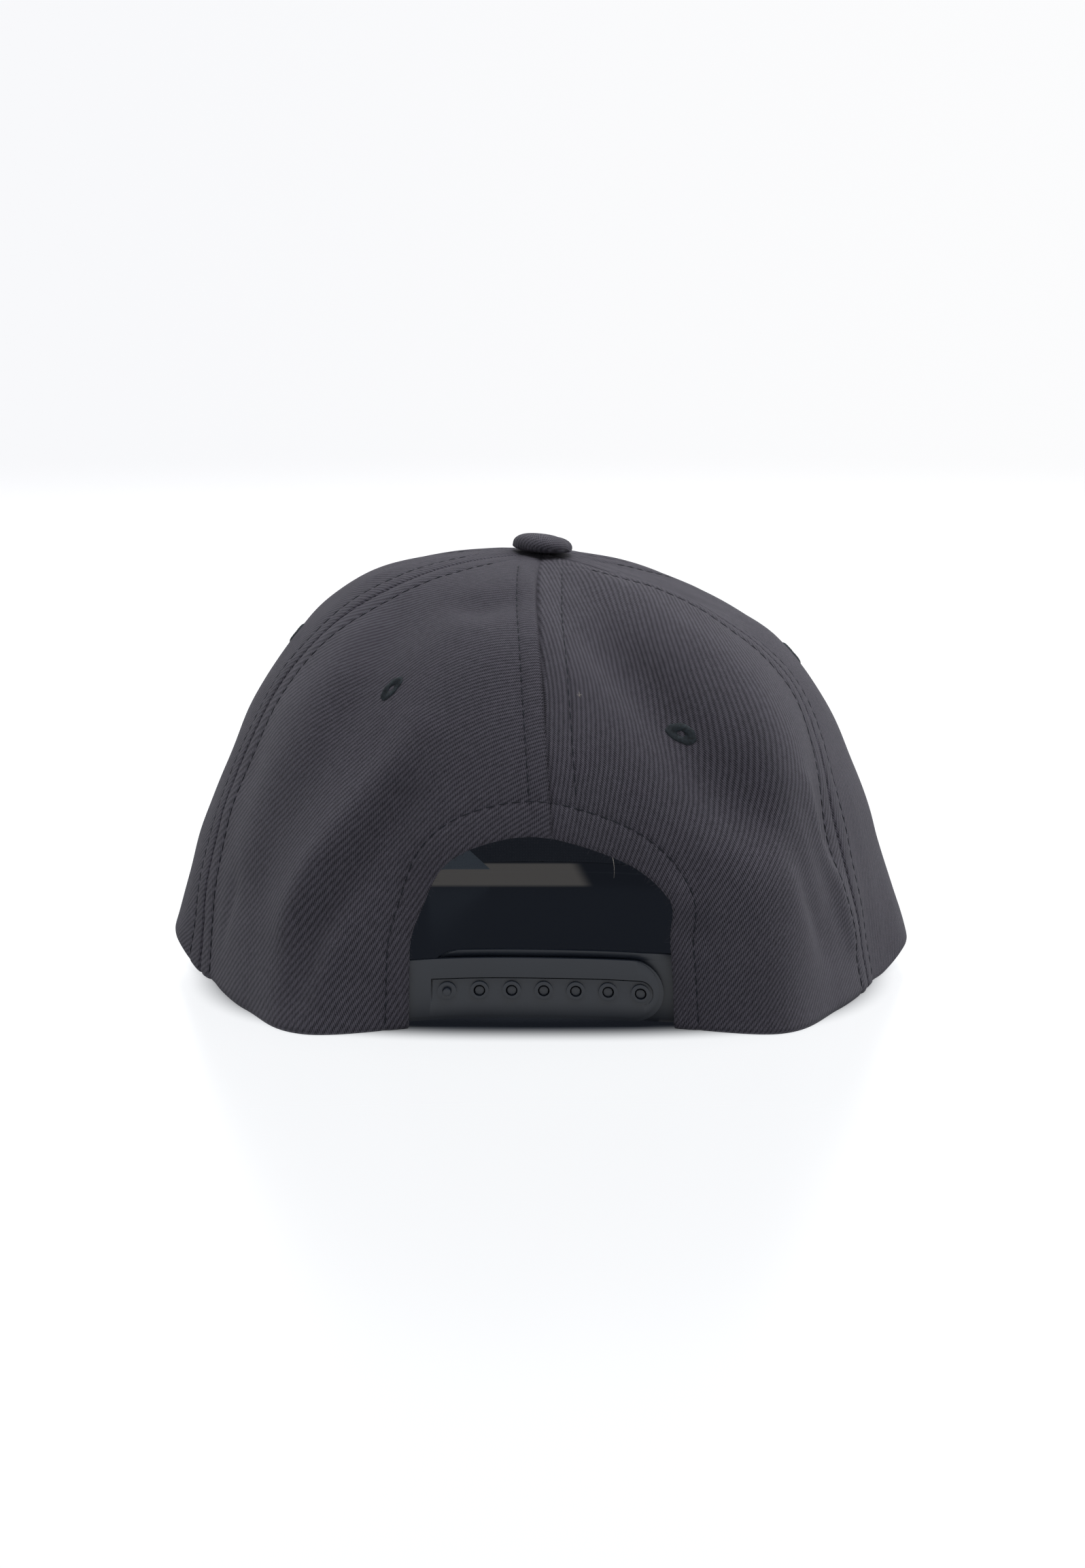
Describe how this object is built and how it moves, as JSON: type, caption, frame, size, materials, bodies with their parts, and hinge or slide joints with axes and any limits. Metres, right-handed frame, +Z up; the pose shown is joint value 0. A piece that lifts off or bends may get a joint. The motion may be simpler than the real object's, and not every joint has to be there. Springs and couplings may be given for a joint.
{
  "type": "snapback cap",
  "caption": "Cap with a domed panelled crown, a flat brim, a button on top and an arched back opening closed by a snap strap.",
  "frame": {"origin": "middle of the cap's footprint, on the surface that it stands on", "axes": "+Z up; the brim points along -Y and the arch and snap strap face +Y; +X is the wearer's left"},
  "size_m": [0.1934, 0.245, 0.1108],
  "materials": {
    "twill": "ribbed wool blend twill, charcoal",
    "thread": "embroidery thread, dark grey",
    "satin": "smooth cotton tape, black",
    "plastic": "satin moulded plastic, dark blue grey"
  },
  "bodies": {
    "root": {"panel_back_left": "twill", "panel_back_right": "twill", "panel_side_left": "twill", "panel_side_right": "twill", "panel_front_left": "twill", "panel_front_right": "twill", "brim": "twill", "button": "twill", "eyelet_back_left": "thread", "eyelet_back_right": "thread", "eyelet_side_left": "thread", "eyelet_side_right": "thread", "eyelet_front_left": "thread", "eyelet_front_right": "thread", "sweatband": "satin", "tag": "satin", "strap_holes": "plastic", "strap_pegs": "plastic"}
  },
  "joints": []
}
